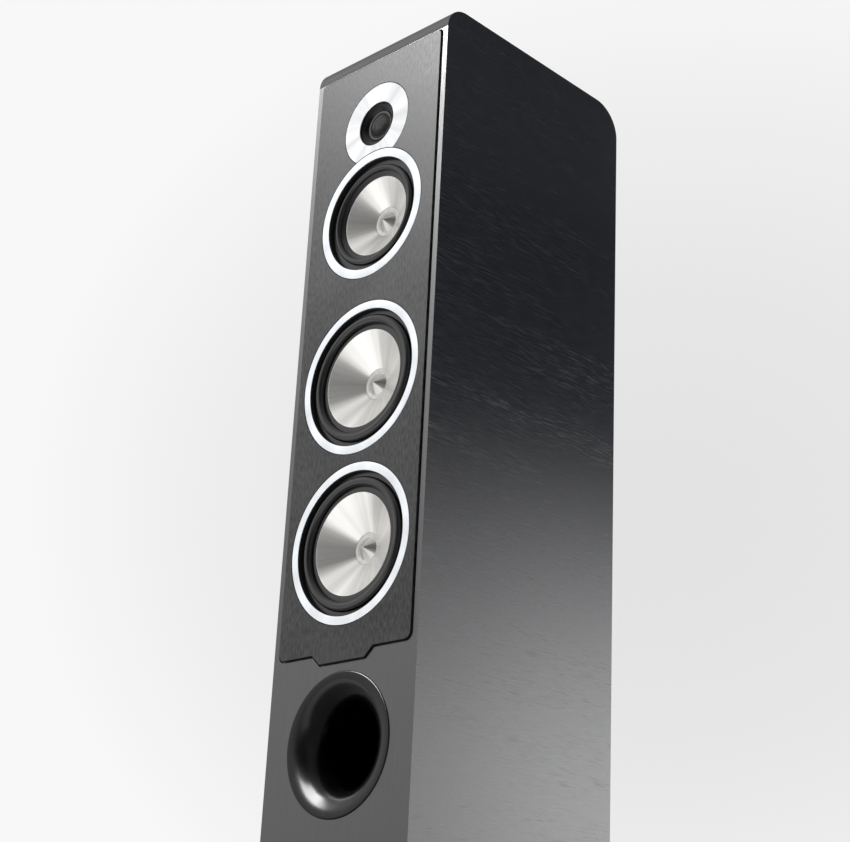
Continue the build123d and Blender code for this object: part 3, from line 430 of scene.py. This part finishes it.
def cone_driver(driver):
    """Turned rings, surround, cone, cap and spider of one cone driver, in place of its CAD solids."""
    spec = MIDRANGE if driver == "midrange" else WOOFER
    moving = driver + "_moving"
    low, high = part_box(driver + "_trim_ring")
    centre = Vector(((low.x + high.x) / 2, low.y, (low.z + high.z) / 2))
    ring_r, _, ring_back = spans(driver + "_trim_ring", centre)
    section = [(spec["ring_in"], 0), (ring_r, 0), (ring_r, ring_back), (spec["ring_in"], ring_back)]
    ring = lathe(driver + "_ring", rounded(section, RING_EASE), centre,
                 "bright_aluminium")
    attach(ring, CABINET)
    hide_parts(driver + "_trim_ring")

    land, rise = spec["land"], spec["rise"]
    lip, r_out, r_in = spec["ring_in"] - 0.7, spec["roll_out"], spec["roll_in"]
    cone_r = spans(driver + "_cone", centre)[0]
    foot, drop = cone_r + GAP, spec["cone_front"]
    middle = (r_out + r_in) / 2
    back = land + RUBBER
    profile = [(lip, back), (lip, land)]
    profile += arc((r_out, land), (middle, land - rise), (r_in, land), ROLL_STEPS)
    profile += [(foot + 0.9, drop - 0.1), (foot, drop + 0.2), (foot, drop + RUBBER)]
    profile += arc((r_in + RUBBER / 2, back), (middle, back - rise), (r_out - RUBBER, back), ROLL_STEPS)
    surround = lathe(driver + "_roll", profile, centre, "surround_rubber", sharp=50)
    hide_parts(driver + "_surround")
    flexes(surround)

    front, neck = spec["cone_front"], spec["cone_front"] + spec["cone_depth"]
    throat = spec["cap_r"] + 0.2
    profile = [(throat, neck), (cone_r - 0.6, front + 0.12), (cone_r - 0.35, front), (cone_r, front),
               (cone_r, front + SKIN), (throat, neck + SKIN + 0.4)]
    cone = lathe(driver + "_diaphragm", profile, centre, "cone_aluminium", steps=360)
    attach(cone, moving)
    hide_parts(driver + "_cone")

    rim = spec["cap_r"]
    root, dish, tip, nose_r = rim * 0.72, neck + 1.5, 8.0, 1.2
    slant = math.hypot(root - nose_r, tip)
    ball = nose_r * slant / tip
    nose = dish - tip
    nose_centre = nose + ball * (root - nose_r) / slant
    half = math.asin(nose_r / ball) / 2
    nose_mid = (ball * math.sin(half), nose_centre - ball * math.cos(half))
    profile = [(rim, neck + 0.15), (rim - 0.3, neck), (root + 1.0, dish - 0.2), (root + 0.35, dish),
               (root - 0.35, dish - 0.25)]
    profile += arc((nose_r, nose), nose_mid, (0, nose_centre - ball), 6)
    profile += [(0, nose + SKIN), (root - 0.4, dish + SKIN), (rim, neck + SKIN)]
    cap = lathe(driver + "_cap", profile, centre, "cap_aluminium", steps=180, sharp=60)
    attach(cap, moving)
    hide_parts(driver + "_centre_cap")

    spider_r, spider_front, spider_back = spans(driver + "_spider", centre)
    inner = spec["coil_r"] + 1.0
    depth = (spider_front + spider_back) / 2
    half_cloth, wavy_r = SPIDER_CLOTH / 2, spider_r - SPIDER_RIM
    front_line, back_line = [], []
    for i in range(SPIDER_STEPS + 1):
        r = inner + (wavy_r - inner) * i / SPIDER_STEPS
        lift = math.sin(math.pi * SPIDER_WAVES * i / SPIDER_STEPS) * SPIDER_LIFT
        front_line.append((r, depth - half_cloth - lift))
        back_line.append((r, depth + half_cloth - lift))
    front_line.append((spider_r, depth - half_cloth))
    back_line.append((spider_r, depth + half_cloth))
    outline = front_line + back_line[::-1]
    spider = lathe(driver + "_suspension", outline, centre,
                   "spider_cloth", steps=120, sharp=60)
    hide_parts(driver + "_spider")
    flexes(spider)


for driver in CONE_DRIVERS:
    cone_driver(driver)


def tweeter():
    """Coated fabric dome with its roll, and the ring that holds it."""
    plate_low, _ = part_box("tweeter_faceplate")
    centre = Vector((TWEETER_CENTRE.x, plate_low.y, TWEETER_CENTRE.z))
    dome_rim, _, dome_back = spans("tweeter_dome", centre)
    seat, rise, dome_r, skin = 6.0, 5.4, 14.0, 0.4
    ball = (dome_r ** 2 + rise ** 2) / (2 * rise)
    half = math.asin(dome_r / ball) / 2
    top = seat - rise
    mid_out = (ball * math.sin(half), top + ball * (1 - math.cos(half)))
    profile = arc((0, top), mid_out, (dome_r, seat), 30)
    profile += arc((dome_r, seat), (dome_r + 0.85, seat - 0.8), (dome_rim, seat), 8)[1:]
    profile += [(dome_rim, dome_back), (dome_r - 0.6, dome_back)]
    inner = ball - skin
    inner_r = dome_r - 0.6
    half = math.asin(inner_r / inner) / 2
    mid_in = (inner * math.sin(half), top + skin + inner * (1 - math.cos(half)))
    end_in = (inner_r, top + skin + inner - math.sqrt(inner ** 2 - inner_r ** 2))
    profile += arc(end_in, mid_in, (0, top + skin), 20)
    dome = lathe("tweeter_soft_dome", profile, centre, "dome_fabric", steps=160, sharp=60)
    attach(dome, "tweeter_moving")
    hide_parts("tweeter_dome")

    ring_r, ring_front, ring_back = spans("tweeter_dome_ring", centre)
    ring_in, ease = 16.0, 0.3
    section = [(ring_in, ring_front + 0.5), (ring_r - 0.3, ring_front), (ring_r, ring_back),
               (ring_in, ring_back)]
    ring = lathe("tweeter_clamp_ring", rounded(section, ease), centre, "grey_ring", steps=160)
    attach(ring, CABINET)
    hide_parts("tweeter_dome_ring")


tweeter()


def port_mouth():
    """The flare with the rolled bead round its edge."""
    low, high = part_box("port_flare")
    centre = Vector(((low.x + high.x) / 2, low.y + MM, (low.z + high.z) / 2))
    port_r, crest, tube_start = spans("port_flare", centre)
    throat, wall, bead, rebate = 43.5, 3.0, 1.8, 3.0
    corner = port_r - bead
    flare = corner - throat
    outer = flare - wall
    diagonal = math.sqrt(0.5)
    profile = [(port_r, rebate)]
    profile += arc((port_r, crest + bead), (corner + bead * diagonal, crest + bead * (1 - diagonal)),
                   (corner, crest), 10)
    profile += arc((corner, crest), (corner - flare * diagonal, tube_start - flare * diagonal),
                   (throat, tube_start), 48)[1:]
    start = math.acos((tube_start - rebate) / outer)
    middle = (start + math.pi / 2) / 2
    rebate_r = corner - math.sqrt(outer ** 2 - (tube_start - rebate) ** 2)
    profile += arc((throat + wall, tube_start),
                   (corner - outer * math.sin(middle), tube_start - outer * math.cos(middle)),
                   (rebate_r, rebate), 30)
    mouth = lathe("port_mouth", profile, centre, "gloss_black", steps=300)
    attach(mouth, CABINET)
    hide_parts("port_flare")


port_mouth()


def fibre_pads():
    """Two slabs of loose wadding, crowned and tufted, in place of the plain CAD slabs."""
    low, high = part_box("damping_wadding")
    middle = (low + high) / 2
    co = np.array([v.co.z for v in nodes["damping_wadding"].data.vertices])
    lower_top = co[co < middle.z].max()
    upper_bottom = co[co > middle.z].min()
    for name, bottom, top in (("wadding_lower", low.z, lower_top), ("wadding_upper", upper_bottom, high.z)):
        half = Vector((high.x - low.x, high.y - low.y, top - bottom)) / 2
        centre = Vector((middle.x, middle.y, (bottom + top) / 2))
        shape = bmesh.new()
        bmesh.ops.create_cube(shape, size=2.0)
        bmesh.ops.subdivide_edges(shape, edges=shape.edges, cuts=23, use_grid_fill=True)
        for v in shape.verts:
            x, y, z = v.co
            crown = 0.72 + 0.28 * (1 - x ** 4) * (1 - z ** 4)
            pull = 1 - 0.05 * (y * y) * (1 if abs(y) > 0.5 else 0.6)
            point = Vector((x * half.x * pull * 0.97, y * half.y * crown * 0.9, z * half.z * pull * 0.97))
            tuft = noise.fractal(point * 60, 0.8, 2.0, 4)
            point += Vector((x, y, z)).normalized() * tuft * 0.0025
            point = Vector((max(-half.x, min(half.x, point.x)), max(-half.y, min(half.y, point.y)),
                            max(-half.z, min(half.z, point.z))))
            v.co = point + centre
        mesh = bpy.data.meshes.new(name)
        shape.to_mesh(mesh)
        shape.free()
        mesh.shade_smooth()
        mesh.materials.append(MATERIALS["wadding"])
        pad = bpy.data.objects.new(name, mesh)
        bpy.context.scene.collection.objects.link(pad)
        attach(pad, CABINET)
        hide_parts("damping_wadding")


fibre_pads()


# ---------------------------------------------------------------- floor, light and camera

def stage_mesh(name, corners, material):
    """One flat face that belongs to the picture and not to the object."""
    mesh = bpy.data.meshes.new(name)
    mesh.from_pydata(corners, [], [list(range(len(corners)))])
    mesh.materials.append(material)
    made = bpy.data.objects.new(name, mesh)
    bpy.context.scene.collection.objects.link(made)
    return made


def floor_material():
    """Pale floor that lets light and sight through from below, where the photograph's camera is."""
    material, g = shader("floor_pale")
    place = g.place()
    tone = g.mix(g.noise(place, 3.0, 3.0), (0.74, 0.74, 0.75, 1), (0.78, 0.78, 0.785, 1))
    pale = g.node("ShaderNodeBsdfPrincipled", {"Base Color": tone, "Roughness": 0.55})
    clear = g.node("ShaderNodeBsdfTransparent")
    back = g.node("ShaderNodeNewGeometry").outputs["Backfacing"]
    both = g.node("ShaderNodeMixShader", {0: back, 1: pale.outputs[0], 2: clear.outputs[0]})
    g.node("ShaderNodeOutputMaterial", {"Surface": both.outputs[0]})
    return material


FLOOR = 7.0  # half the floor's width
stage_mesh("floor", [(-FLOOR, -FLOOR, 0), (FLOOR, -FLOOR, 0), (FLOOR, FLOOR, 0), (-FLOOR, FLOOR, 0)],
           floor_material())


def softbox(name, corners, strength, mirror_only=False):
    """Panel glowing on its front, unseen by the camera. strength(graph, place) gives its brightness.
    A mirror_only panel shows in reflections and neither lights nor shades matt surfaces."""
    material, g = shader(name)
    back = g.node("ShaderNodeNewGeometry").outputs["Backfacing"]
    front_only = g.math("MULTIPLY", strength(g, g.place()), g.math("SUBTRACT", 1.0, back))
    glow = g.node("ShaderNodeEmission", {"Color": (1, 1, 1, 1), "Strength": front_only})
    g.node("ShaderNodeOutputMaterial", {"Surface": glow.outputs[0]})
    made = stage_mesh(name, corners, material)
    made.visible_camera = False
    if mirror_only:
        made.visible_diffuse = made.visible_shadow = False


GLOW = 4.2
GLOW_HEIGHTS = (0.42, 1.42)  # full up to the first and gone from the second
GLOW_DEPTHS = (1.2, 1.5)  # distances behind the object
GLOW_SHARES = (0.66, 1.04)  # what is left of it at those distances


def right_glow(g, place):
    """Bright near the floor and towards the back, fading out upwards."""
    rise = g.remap(g.dot(place, (0, 0, 1)), *GLOW_HEIGHTS, GLOW, 0.0)
    return g.math("MULTIPLY", rise, g.remap(g.dot(place, (0, 1, 0)), *GLOW_DEPTHS, *GLOW_SHARES, False))


FLOOR_GLOW = 1.7
softbox("right_light", [(1.0, 2.3, -0.1), (1.9, 0.2, -0.1), (1.9, 0.2, 1.9), (1.0, 2.3, 1.9)], right_glow)
softbox("floor_light", [(-2.6, -3.2, 0.02), (0.2, -3.2, 0.02), (0.2, -0.75, 0.02), (-2.6, -0.75, 0.02)],
        lambda g, place: FLOOR_GLOW, mirror_only=True)


def lamp(name, place, target, size, strength, receivers):
    """Square area light of a given radiance that shines on some objects only."""
    data = bpy.data.lights.new(name, "AREA")
    data.shape = "SQUARE"
    data.size = size
    data.energy = strength * math.pi * size * size
    made = bpy.data.objects.new(name, data)
    bpy.context.scene.collection.objects.link(made)
    made.location = place
    made.rotation_mode = "QUATERNION"
    made.rotation_quaternion = (Vector(target) - Vector(place)).to_track_quat("-Z", "Y")
    made.visible_camera = False
    group = bpy.data.collections.new(name + "_reach")
    for receiver in receivers:
        group.objects.link(receiver)
    made.light_linking.receiver_collection = group


FACE = -0.165  # depth of the rings' and the plate's faces
lamp("front_lamp", (-1.394, -1.9, 2.834), (0, FACE, 0.9), 0.7, 58.0,
     [nodes["front_baffle"], nodes["baffle_plate"], bpy.data.objects["tweeter_soft_dome"]])
lamp("port_lamp", (-1.0, -1.9, 2.05), (0, FACE, 0.211), 1.4, 34.0, [bpy.data.objects["port_mouth"]])


ROOM = 0.42  # brightness of the room away from its lobes
LOBES = [  # direction, cosines where it starts and is full, brightness added
    ((-0.68, -0.66, 0.3), 0.74, 0.95, 0.7),
    ((-0.3, -0.4, 0.87), 0.7, 0.95, 0.3),
    ((-0.66, -0.04, 0.75), 0.9, 0.99, 0.35),
]
SHADES = [  # direction, cosines where it starts and is full, share of the brightness taken away
    ((0.62, 0.62, 0.48), 0.35, 0.8, 0.85),
    ((0.22, -0.91, 0.357), 0.85, 0.98, 0.7),
    ((-0.66, 0.36, 0.66), 0.78, 0.97, 0.5),
]
SIDEWAYS = (0.7211, 0.6928, 0.0)  # level, across the photograph
BACKDROP = 0.99
BACKDROP_LIMIT = 0.935
SIDE_SLOPE, HEIGHT_SLOPE = -0.322, -1.332
HEIGHT_CURVE, SIDE_CURVE = 2.163, 1.357


def studio():
    """A room for reflections, with bright lobes and dark shades, and a near-white backdrop for the camera."""
    world = bpy.data.worlds.new("studio")
    bpy.context.scene.world = world
    world.use_nodes = True
    g = Graph(world.node_tree)
    toward = g.vector("NORMALIZE", g.node("ShaderNodeTexCoord").outputs["Generated"])
    split = g.node("ShaderNodeSeparateXYZ", {0: toward})
    height = split.outputs[2]
    room = ROOM
    for axis, start, end, gain in LOBES:
        room = g.math("ADD", room, g.remap(g.dot(toward, axis), start, end, 0.0, gain))
    for axis, start, end, depth in SHADES:
        dark = g.remap(g.dot(toward, axis), start, end, 1.0, 1.0 - depth)
        room = g.math("MULTIPLY", room, dark)
    side = g.dot(toward, SIDEWAYS)
    terms = [g.math("MULTIPLY", side, SIDE_SLOPE), g.math("MULTIPLY", height, HEIGHT_SLOPE),
             g.math("MULTIPLY", g.math("MULTIPLY", height, height), HEIGHT_CURVE),
             g.math("MULTIPLY", g.math("MULTIPLY", side, side), SIDE_CURVE)]
    backdrop = BACKDROP
    for term in terms:
        backdrop = g.math("ADD", backdrop, term)
    backdrop = g.math("MINIMUM", backdrop, BACKDROP_LIMIT)
    seen = g.node("ShaderNodeLightPath").outputs["Is Camera Ray"]
    strength = g.node("ShaderNodeMix", {0: seen, 2: room, 3: backdrop}).outputs[0]
    glow = g.node("ShaderNodeBackground", {"Color": (1, 1, 1, 1), "Strength": strength})
    g.node("ShaderNodeOutputWorld", {"Surface": glow.outputs[0]})


studio()


LENS, SENSOR = 74.015, 36.0  # millimetres
VIEWPOINT = (1.3175, -1.3815, -0.1161)
VIEW_RIGHT = (0.72030047, 0.6920433, 0.04736356)
VIEW_UP = (0.21600599, -0.28866313, 0.93274595)
VIEW_BACK = (0.6591727, -0.66162654, -0.35740969)


def photo_camera():
    """Below floor level, in front and to the right, looking up."""
    data = bpy.data.cameras.new("camera")
    data.lens = LENS
    data.sensor_width = SENSOR
    data.clip_start, data.clip_end = 0.01, 60.0
    made = bpy.data.objects.new("camera", data)
    bpy.context.scene.collection.objects.link(made)
    turn = Matrix((VIEW_RIGHT, VIEW_UP, VIEW_BACK)).transposed()
    made.matrix_world = Matrix.Translation(VIEWPOINT) @ turn.to_4x4()
    bpy.context.scene.camera = made


photo_camera()
bpy.context.scene.view_settings.view_transform = "Standard"
